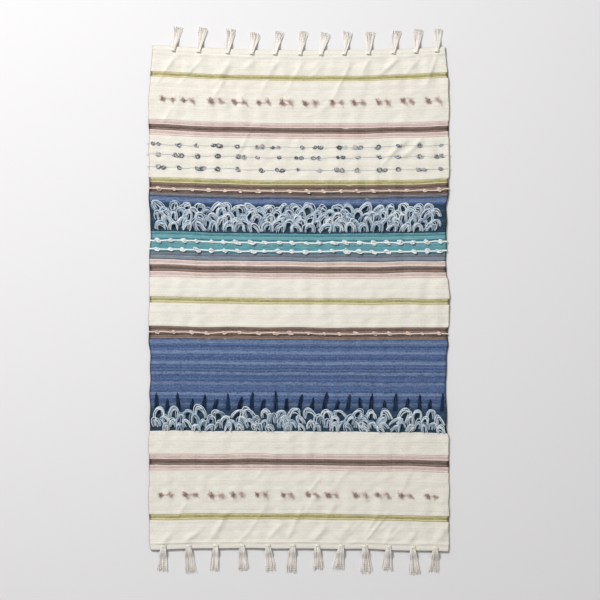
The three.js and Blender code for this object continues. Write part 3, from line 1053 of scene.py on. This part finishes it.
@dataclass(frozen=True)
class SlubYarn:
    """A surface yarn with knots or tufts along it.

    Attributes:
        node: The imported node.
        slot: Its material slot.
        pitch: Distance between knots, in metres.
        radius: Radius of each of its plies.
        knot: What stands along it.
        size: Width of each knot.
    """

    node: str
    slot: str
    pitch: float
    radius: float
    knot: Knot
    size: float

    def make(self, cloth: LaidCloth, palette: Palette) -> bpy.types.Object:
        """Lay the yarn and its knots."""
        curly, tufted = self.knot is Knot.CURL, self.knot is Knot.TUFT
        skein = Skein(self.node, cloth.drape)
        base = middle_y(self.node, cloth)
        margin = 20 * MM if tufted else 10 * MM
        stray = self.pitch * (0.17 if curly else 0.08)
        spots = places(self.pitch, cloth.width / 2 - margin, skein.random, stray)
        if not tufted:
            self.line(skein, cloth.width / 2, base)
        knots = {Knot.CURL: self.curls, Knot.NUB: self.nubs, Knot.TUFT: self.tufts}[self.knot]
        for x in spots:
            knots(skein, x, base)
        return skein.finish(palette, self.slot, sides=4 if tufted else 6,
                            wobble=0.5 * MM, wobble_scale=160.0)

    def line(self, skein: Skein, half: float, base: float) -> None:
        """Lay the plied yarn from selvedge to selvedge, with short free ends."""
        random = skein.random
        curly = self.knot is Knot.CURL
        loose = 7.0 * MM if curly else 1.5 * MM
        x = np.linspace(-half - loose * random.uniform(0.5, 1.0), half + loose * random.uniform(0, 0.5), 460)
        stray = Ripple(0.8 * MM, 0.05, self.node).at(x, np.zeros_like(x))
        over = np.clip((np.abs(x) - half) / (3 * MM), 0.0, 1.0)
        line = np.column_stack([x, base + stray, self.radius * 1.1 - over * 2.0 * MM])
        if curly:
            skein.plied(line, 2, self.radius * 0.7, 9 * MM, self.radius * 0.8, 0.85)
        else:
            skein.plied(line, 3, self.radius * 0.8, 9 * MM, self.radius, 0.55)

    def curls(self, skein: Skein, x: float, base: float) -> None:
        """Add a ring of spare yarn, or a pair of them."""
        random = skein.random
        doubled = random.uniform() < 0.4
        large = random.uniform(0.75, 1.25)
        for centre in ((x - 6 * MM, x + 6 * MM) if doubled else (x,)):
            for _ in range(4):
                turns = random.uniform(0.5, 1.2)
                angle = np.linspace(0.0, turns * math.tau, 18) + random.uniform(0, math.tau)
                radius = self.size * large * random.uniform(0.4, 0.62)
                drift = np.linspace(-0.5, 0.5, 18) * self.size * random.uniform(0.2, 1.0)
                curl = np.column_stack([
                    centre + drift + radius * np.cos(angle),
                    base + random.normal(0, 0.8 * MM) + radius * np.sin(angle) * 0.85,
                    1.9 * MM + 1.6 * MM * np.sin(angle * 0.7 + random.uniform(0, 3)),
                ])
                skein.add(curl, self.radius * random.uniform(0.9, 1.3), random.choice([0.0, 0.15, 0.9]))

    def nubs(self, skein: Skein, x: float, base: float) -> None:
        """Add a soft nub, where the yarn is drawn up into a slanting bundle."""
        random = skein.random
        slant = random.uniform(0.1, 0.9)
        size = self.size * random.uniform(0.75, 1.15)
        for _ in range(13):
            width = size * random.uniform(0.3, 1.0)
            reach = size * random.uniform(-0.42, 0.42)
            shape = arch(x + random.normal(0, size * 0.1), base, width, reach,
                         size * random.uniform(0.2, 0.5), 9, -slant * reach)
            skein.add(shape, self.radius * random.uniform(0.75, 1.1), random.uniform(0.2, 1.0))

    def tufts(self, skein: Skein, x: float, base: float) -> None:
        """Add a pair of fuzzy tufts of cut fibre, the first darker than the second."""
        random = skein.random
        self.tuft(skein, x - random.uniform(10, 13) * MM, base, 1.05, (0.0, 0.8), 50)
        self.tuft(skein, x + random.uniform(6, 13) * MM, base, 1.15, (0.5, 1.0), 36)
        for _ in range(2):
            tail = arch(x + random.normal(1.0 * MM, 2.5 * MM), base - random.uniform(0, 3) * MM,
                        random.uniform(12, 24) * MM, random.uniform(1, 7) * MM, 3.5 * MM, 10)
            skein.add(tail, 0.36 * MM, random.uniform(0.5, 1.0))

    def tuft(self, skein: Skein, x: float, base: float, share: float, tones: tuple[float, float],
             fibres: int) -> None:
        """Add one soft tuft of short fibre that wanders outwards and up."""
        random = skein.random
        size = self.size * share * random.uniform(0.8, 1.15)
        t = np.linspace(0.0, 1.0, 9)
        for _ in range(fibres):
            heading = random.uniform(0, math.tau) + random.normal(0, 1.1) * t
            heading = heading + 0.5 * np.sin(t * random.uniform(5, 9) + random.uniform(0, math.tau))
            reach = size * random.uniform(0.25, 0.65)
            step = np.column_stack([np.cos(heading), np.sin(heading)]) * reach / len(t)
            start = random.normal(0, 0.12, 2) + random.normal(0, 0.24) * np.array([0.7, -0.7])
            plan = start * size + np.cumsum(step, axis=0)
            rise = size * random.uniform(0.08, 0.5) * np.sin(t * random.uniform(1.4, 2.8))
            fibre = np.column_stack([x + plan[:, 0], base + plan[:, 1], np.maximum(rise, 0.0) + 0.35 * MM])
            skein.add(smooth_route(fibre, 13), 0.3 * MM, random.uniform(*tones))


@dataclass(frozen=True)
class LoopPile:
    """Rows of looped yarn that arch towards the back end.

    Attributes:
        node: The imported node.
        band: The band that it stands on.
        rows: For each row, the distance of its feet from the band's back edge, the width of its
            loops and how far back they lie, all in millimetres.
        pitch: Distance between loops.
        height: How high their tops stand over the cloth.
        bulk: Radius of each loop's bundle.
        strands: Strands in each bundle.
        jitter: How loosely the strands keep together.
    """

    node: str
    band: str
    rows: tuple[tuple[float, float, float], ...]
    pitch: float
    height: float = 9 * MM
    bulk: float = 4.4 * MM
    strands: int = 8
    jitter: float = 1.0

    def make(self, cloth: LaidCloth, palette: Palette) -> bpy.types.Object:
        """Draw up every loop of every row."""
        skein = Skein(self.node, cloth.drape)
        random = skein.random
        back = band_edges(self.band, cloth)[1]
        half = cloth.width / 2 - self.pitch * 0.75
        for number, row in enumerate(self.rows):
            distance, width, reach = (value * MM for value in row)
            shift = (number % 2 - 0.5) * self.pitch / 2
            for centre in places(self.pitch, half, random, self.pitch * 0.12) + shift:
                self.loop(skein, centre, back - distance, width * random.uniform(0.8, 1.2),
                          reach * random.uniform(0.8, 1.2))
        return skein.finish(palette, "loop_yarn", wobble=3.4 * MM, wobble_scale=75.0)

    def loop(self, skein: Skein, centre: float, base: float, width: float, reach: float) -> None:
        """Draw up one loop as a thick loose bundle of strands."""
        random = skein.random
        lean = random.normal(0, 4.5 * MM)
        high = self.height * random.uniform(0.6, 1.1)
        along = np.linspace(-0.5, 0.5, 15)
        loose = self.jitter * MM
        for strand in range(self.strands):
            out = self.bulk * math.sqrt((strand + 0.4) / self.strands)
            turn = strand * 2.4 + along * random.uniform(0.6, 1.8)
            middle = arch(centre + random.normal(0, 1.2 * loose), base + random.normal(0, 1.2 * loose),
                          width + random.normal(0, 2.4 * loose), reach + random.normal(0, 1.9 * loose),
                          high * random.uniform(0.75, 1.15), len(along),
                          lean + random.normal(0, 2.0 * loose))
            middle[:, 2] += 1.6 * MM
            side, up = side_and_up(middle)
            route = middle + out * (np.cos(turn)[:, None] * side + 0.8 * np.sin(turn)[:, None] * up)
            route[:, 2] = np.maximum(route[:, 2], -0.8 * MM)
            skein.add(route, random.uniform(0.8, 1.15) * MM, random.uniform(0.15, 1.0))


@dataclass(frozen=True)
class SpikeRow:
    """Upright tufts, long and short in turn, that lie against the cloth.

    Attributes:
        node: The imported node.
        pitch: Distance between tufts, in metres.
        long: Length of every other tuft.
        short: Length of the rest.
        half_width: Half the spread of the strands of one tuft.
        strands: Strands in each tuft.
    """

    node: str = "navy_tufts"
    pitch: float = 27.5 * MM
    long: float = 41 * MM
    short: float = 27 * MM
    half_width: float = 3.7 * MM
    strands: int = 20

    def make(self, cloth: LaidCloth, palette: Palette) -> bpy.types.Object:
        """Lay every tuft as a soft bundle of strands."""
        skein = Skein(self.node, cloth.drape)
        random = skein.random
        base = middle_y(self.node, cloth)
        t = np.linspace(0.0, 1.0, 9)
        for index, centre in enumerate(places(self.pitch, cloth.width / 2 - 8 * MM, random, 3.0 * MM)):
            length = (self.short if index % 2 else self.long) * random.uniform(0.85, 1.1)
            lean = random.normal(0, 2.2 * MM)
            for _ in range(self.strands):
                side = random.uniform(-1.0, 1.0) * self.half_width
                reach = length * math.sqrt(1.0 - 0.3 * (side / self.half_width) ** 2)
                strand = np.column_stack([
                    centre + side * (1.25 - t * 0.65) + lean * t * t + 3.0 * MM * t ** 4
                    + random.normal(0, 0.45 * MM, len(t)),
                    base - 6 * MM + (reach + 3 * MM) * t * random.uniform(0.7, 1.0),
                    0.8 * MM + 6.0 * MM * np.sin(t * 2.8) * random.uniform(0.3, 1.0),
                ])
                skein.add(strand, 0.75 * MM * (1.0 - 0.2 * t ** 3), random.uniform())
        return skein.finish(palette, "navy_tuft", wobble=1.2 * MM, wobble_scale=120.0)


@dataclass(frozen=True)
class HemThread:
    """A running stitch along a hem, and the cord that edges its fold.

    Attributes:
        node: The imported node.
        stitch: Length of each stitch, in metres.
        gap: Distance between stitches.
        edging: Radius of each ply of the cord.
    """

    node: str
    stitch: float = 6.5 * MM
    gap: float = 2.2 * MM
    edging: float = 0.55 * MM

    def make(self, cloth: LaidCloth, palette: Palette) -> bpy.types.Object:
        """Sew the stitches on the upper face of the hem, and lay the cord's two plies."""
        skein = Skein(self.node, cloth.drape)
        base = middle_y(self.node, cloth)
        x = -cloth.width / 2 + 3 * MM
        t = np.linspace(0.0, 1.0, 7)
        rise = np.sin(t * math.pi) ** 0.5 * 0.55 * MM - 0.3 * MM
        while x < cloth.width / 2 - 3 * MM - self.stitch:
            skein.add(np.column_stack([x + t * self.stitch, np.full_like(t, base), rise]), 0.3 * MM, 1.0)
            x += self.stitch + self.gap
        way = 1 if base > 0 else -1
        x = np.linspace(-cloth.width / 2 + 2 * MM, cloth.width / 2 - 2 * MM, 420)
        fold = np.full_like(x, way * cloth.length / 2)
        route = cloth.drape(np.column_stack([x, fold, np.full_like(x, -cloth.hem_thick / 2)]))
        # Painted shadow: the front cord takes the deepest tone, for the shade along the front hem's edge; the back
        # cord takes the palest.
        for up in (0.0, 1.0 * MM):
            skein.add_laid(route + (0.0, way * 0.2 * MM, up), self.edging, 0.5 + 0.5 * way)
        return skein.finish(palette, "hem_thread", sides=6)


class End(Enum):
    """The two ends of the mat, as the way that each faces."""

    BACK = 1
    FRONT = -1


@dataclass(frozen=True)
class Tie:
    """How the tassels of one end are tied.

    Attributes:
        head: Where the head's first turn crosses, outwards from the pinhole. All lengths here are
            in millimetres.
        head_width: Half-width of the head.
        neck: Half-width of the skirt where it leaves the head.
        flare: How much wider its free end is.
        curve: How soon it widens; under 1 is sooner.
    """

    head: float
    head_width: float
    neck: float
    flare: float
    curve: float


TIES = {End.BACK: Tie(-3.0, 4.0, 2.8, 7.4, 0.85), End.FRONT: Tie(-4.6, 5.1, 3.9, 8.0, 0.65)}


@dataclass(frozen=True)
class Tassel:
    """A bundle of strands looped through its pinhole and round the hem.

    Attributes:
        joint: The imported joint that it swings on.
        end: Which end of the mat it hangs from.
        strands: Strands in its skirt.
    """

    joint: dict
    end: End
    strands: int = 46

    @property
    def node(self) -> str:
        """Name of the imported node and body."""
        return self.joint["child"]

    def place(self, points: Array) -> Array:
        """Put points drawn outwards along +Y from the pinhole where the tassel is."""
        low, high = self.joint["range_deg"]
        straight = 0.0 if self.end is End.BACK else math.pi
        turn = straight - math.radians((low + high) / 2)
        cos, sin = math.cos(turn), math.sin(turn)
        x, y, z = self.joint["pos_m"]
        return np.column_stack([
            points[:, 0] * cos - points[:, 1] * sin + x,
            points[:, 0] * sin + points[:, 1] * cos + y,
            points[:, 2] + z,
        ])

    def make(self, palette: Palette) -> bpy.types.Object:
        """Tie the tassel."""
        skein = Skein(self.node, self.place, "strands_")
        low, high = (Vector(corner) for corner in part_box(self.node))
        self.knot(skein)
        self.skirt(skein, high.y - low.y - 2 * MM)
        return skein.finish(palette, "tassel_cotton", self.node, wobble=1.1 * MM, wobble_scale=60.0)

    def knot(self, skein: Skein) -> None:
        """Loop the bundle through the pinhole and round the hem, and tie its head."""
        random, tie = skein.random, TIES[self.end]
        for strand in range(7):
            side = (strand - 3) * 1.2 * MM
            reach = random.uniform(12.8, 13.8) * MM
            ring = np.array([
                (side, reach, 4.2 * MM), (side, 10.5 * MM, 8.8 * MM), (side, 3.5 * MM, 9.5 * MM),
                (side * 0.8, 0.4 * MM, 8.0 * MM), (side * 0.55, 0.0, 4.6 * MM),
                (side * 0.8, 0.6 * MM, 1.6 * MM), (side, 4.0 * MM, 1.1 * MM),
                (side, 9.0 * MM, 1.0 * MM), (side, reach, 3.0 * MM),
            ])
            skein.add(smooth_route(ring, 18), 0.8 * MM, random.uniform(0.5, 1.0))
        side = np.linspace(-1.0, 1.0, 13)
        for turn in range(4):
            head = np.column_stack([
                tie.head_width * np.sin(side * 1.9),
                tie.head + turn * 1.4 + 0.6 * np.cos(side * 2.0 + turn),
                11.0 + 3.0 * np.cos(side * 1.9),
            ])
            skein.add(head * MM, 0.8 * MM, random.uniform(0.6, 1.0))

    def skirt(self, skein: Skein, length: float) -> None:
        """Let the strands fan out to their free ends."""
        random, tie = skein.random, TIES[self.end]
        start = -3.0 * MM
        cut = random.uniform(0.86, 1.0)
        t = np.linspace(0.0, 1.0, 16)
        for _ in range(self.strands):
            side = random.uniform(-1.0, 1.0)
            level = random.uniform(0.0, 1.0)
            end = length * cut * (1.0 - 0.2 * random.uniform() ** 1.5)
            y = start + (end - start) * t
            stray = random.normal(0, 1.5 * MM) * t * t
            x = side * (tie.neck + tie.flare * t ** tie.curve) * MM + stray
            over = smooth_step((y / MM - 10.5) / 19.0)  # from the hem down to the floor
            z = (9.3 - 8.4 * over + 3.2 * level) * MM
            radius = 0.72 * MM * (1.0 - 0.45 * t ** 6)
            tone = random.uniform() * (1.0 - 0.45 * t ** 3)
            skein.add(np.column_stack([x, y, z]), radius, tone)


def smooth_route(corners: Array, count: int) -> Array:
    """Round a route with a Catmull-Rom curve.

    Args:
        corners: Points that the route passes.
        count: Points to give back.

    Returns:
        The rounded route.
    """
    padded = np.vstack([2 * corners[0] - corners[1], corners, 2 * corners[-1] - corners[-2]])
    spots = np.linspace(0.0, len(corners) - 1 - 1e-6, count)
    route = []
    for spot in spots:
        i = int(spot)
        t = spot - i
        a, b, c, d = padded[i:i + 4]
        route.append(0.5 * (2 * b + (c - a) * t + (2 * a - 5 * b + 4 * c - d) * t * t
                            + (3 * b - a - 3 * c + d) * t ** 3))
    return np.array(route)


# ---------------------------------------------------------------------------
# Studio
# ---------------------------------------------------------------------------


@dataclass(frozen=True)
class Studio:
    """The floor, the lights and the camera.

    Attributes:
        view_width: Width of the view on the floor, in metres.
        focal: Of the lens, in millimetres.
        sensor: Width of the sensor, in millimetres.
        floor_width: Side of the square floor.
        aim: The point of the floor that the camera stands over.
    """

    view_width: float = 1.372
    focal: float = 85.0
    sensor: float = 36.0
    floor_width: float = 50.0
    aim: tuple[float, float] = (2.3 * MM, 1.0 * MM)

    def make(self) -> None:
        """Set everything up."""
        self.camera()
        self.floor()
        self.light("key", (-1.5, 1.9, 3.2), 0.8, 122.0)
        self.light("fill", (1.8, -1.2, 2.8), 2.4, 6.0)
        world = bpy.data.worlds.new("studio")
        bpy.context.scene.world = world
        world.use_nodes = True
        background = world.node_tree.nodes["Background"]
        background.inputs["Color"].default_value = (1.0, 0.99, 0.985, 1.0)
        background.inputs["Strength"].default_value = 0.36
        bpy.context.scene.view_settings.view_transform = "Standard"

    def camera(self) -> None:
        """Look straight down at the mat, with its back end at the top."""
        data = bpy.data.cameras.new("camera")
        data.lens = self.focal
        data.sensor_width = self.sensor
        camera = place_new("camera", data)
        height = self.view_width * self.focal / self.sensor
        camera.location = (*self.aim, height)
        bpy.context.scene.camera = camera

    def floor(self) -> None:
        """Lay a plain pale floor."""
        half = self.floor_width / 2
        corners = [(-half, -half, 0), (half, -half, 0), (half, half, 0), (-half, half, 0)]
        mesh = bpy.data.meshes.new("floor")
        mesh.from_pydata(corners, [], [(0, 1, 2, 3)])
        floor = place_new("floor", mesh)
        sheet = NodeSheet("floor")
        sheet.feed(sheet.shader.inputs["Base Color"], (*linear(231, 230, 231), 1.0))
        sheet.feed(sheet.shader.inputs["Roughness"], 0.9)
        mesh.materials.append(sheet.material)

    def light(self, name: str, place: tuple[float, float, float], size: float, power: float) -> None:
        """Add one soft square light aimed at the mat, with its side in metres and power in watts."""
        data = bpy.data.lights.new(name, "AREA")
        data.size = size
        data.energy = power
        lamp = place_new(name, data)
        lamp.location = place
        lamp.rotation_euler = (-Vector(place)).to_track_quat("-Z", "Y").to_euler()


# ---------------------------------------------------------------------------
# The mat
# ---------------------------------------------------------------------------

RIBS = {
    slot: Rib(PICKS[slot], height * MM, samples)
    for slot, height, samples in (
        ("olive", 0.9, 5), ("pink", 0.75, 5), ("brown", 0.75, 5), ("grey", 0.7, 5),
        ("blue", 0.6, 4), ("teal", 0.65, 4), ("slate", 0.6, 4),
    )
}

# Painted shade below the loop pile and round the navy tufts: where it starts and where it is full, from each blue
# band's back edge.
PILE_SHADE = {"blue_1": (10 * MM, 20 * MM), "blue_2": (130 * MM, 180 * MM)}

SLUBS = tuple(
    SlubYarn(node, slot, pitch * MM, radius * MM, knot, size * MM)
    for nodes, slot, pitch, radius, knot, size in (
        (("grey_slub_1", "grey_slub_2", "grey_slub_3"), "grey_slub", 46, 0.55, Knot.CURL, 8.0),
        (("pink_slub_1", "pink_slub_2"), "pink_slub", 38, 0.95, Knot.NUB, 10.0),
        (("white_slub_1", "white_slub_2"), "white_slub", 31, 1.1, Knot.NUB, 13.0),
        (("rose_tufts_back", "rose_tufts_front"), "rose_tuft", 55, 0.6, Knot.TUFT, 12.0),
    )
    for node in nodes
)

PILES = (
    LoopPile("loop_pile_back", "blue_1",
             ((31, 18, 14), (43, 17, 15), (53, 18, 15), (64, 17, 15), (75, 18, 15)), 31 * MM),
    LoopPile("loop_pile_front", "blue_2",
             ((180, 21, 19), (193, 15, 17), (202, 13, 15), (209, 12, 14)), 35 * MM,
             bulk=3.7 * MM, strands=7),
)

STRAY_FOLDS = 18
WIDE_BAND = 0.15
HEM_THREADS = ("hem_thread_back", "hem_thread_front")


class BathMat:
    """The whole mat, built from its bands, yarns, pile and tassels."""

    def __init__(self) -> None:
        self.palette = Palette()
        self.cloth = LaidCloth()
        self.slots = {part["node"]: part["material_slot"] for part in frame["record"]["subparts"]}
        self.bands = [node for node, slot in self.slots.items() if slot in RIBS]
        self.cloth.wrinkles = self.wrinkles()
        self.cloth.waists = self.waists()

    def waists(self) -> list[Waist]:
        """Give how the bands of thick yarn and the two hems draw the selvedges in."""
        half = self.cloth.length / 2
        spans = merged(band_edges(node, self.cloth) for node in self.bands)
        drawn = [Waist(front, back, 0.4 * MM, 1.4 * MM) for front, back in spans]
        for front, back in spans:
            if back - front > WIDE_BAND:
                drawn.append(Waist(front, back - 0.05, 2.0 * MM, 5.0 * MM, 0.03))
        drawn.append(Waist(half - 0.05, half + 1.0, 9.0 * MM, 9.0 * MM, 0.11))
        drawn.append(Waist(-half - 1.0, -half + 0.008, 5.0 * MM, 1.5 * MM, 0.05))
        return drawn

    def wrinkles(self) -> list[Wrinkle]:
        """Give the soft folds that run from each tassel's knot into the cloth."""
        random = rng("wrinkles")
        folds = []
        for joint in frame["joints"]:
            x, y, _ = joint["pos_m"]
            way = 1 if y > 0 else -1
            straight = self.cloth.straight_y(y) + self.cloth.skew
            for share in (1.0, random.uniform(0.2, 0.8)):
                long = random.uniform(45, 120) * MM
                turn = math.radians(random.uniform(38, 68))
                start = (x + way * random.uniform(4, 20) * MM, straight - way * 2 * MM)
                end = (start[0] - way * long * math.cos(turn), start[1] - way * long * math.sin(turn))
                folds.append(Wrinkle(start, end, random.uniform(3.5, 8.0) * MM,
                                     share * random.uniform(1.6, 3.6) * MM))
        for number in range(STRAY_FOLDS):
            way = 1 if number % 2 else -1
            start = np.array([random.uniform(-0.3, 0.3), way * random.uniform(0.36, 0.53)])
            turn = math.radians(random.uniform(40, 65))
            end = start - random.uniform(60, 120) * MM * np.array([math.cos(turn), math.sin(turn)])
            folds.append(Wrinkle(tuple(start), tuple(end), random.uniform(3.5, 7.0) * MM,
                                 random.uniform(1.2, 2.8) * MM))
        return folds

    def make(self) -> None:
        """Build every piece."""
        weaver = WovenPiece(self.cloth, self.palette)
        edges = [band_edges(node, self.cloth) for node in self.bands]
        ground = weaver.ground(merged(edges))
        on_it = [weaver.band(node, self.slots[node], RIBS[self.slots[node]]) for node in self.bands]
        on_it += [slub.make(self.cloth, self.palette) for slub in SLUBS]
        on_it += [pile.make(self.cloth, self.palette) for pile in PILES]
        on_it.append(SpikeRow().make(self.cloth, self.palette))
        on_it += [HemThread(node).make(self.cloth, self.palette) for node in HEM_THREADS]
        for joint in frame["joints"]:
            end = End.BACK if joint["pos_m"][1] > 0 else End.FRONT
            on_it.append(Tassel(joint, end).make(self.palette))


def merged(spans: Iterable[tuple[float, float]]) -> list[tuple[float, float]]:
    """Join spans that touch, so that neighbouring bands count as one.

    Args:
        spans: Pairs of a front and a back edge.

    Returns:
        The joined spans, from front to back.
    """
    joined: list[list[float]] = []
    for front, back in sorted(spans):
        if joined and front - joined[-1][1] < 1.0 * MM:
            joined[-1][1] = back
        else:
            joined.append([front, back])
    return [(front, back) for front, back in joined]


def main() -> None:
    """Build the studio and the mat."""
    logging.basicConfig(level=logging.INFO, format="%(name)s: %(message)s")
    Studio().make()
    BathMat().make()
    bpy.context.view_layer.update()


if __name__ == "__main__":
    main()
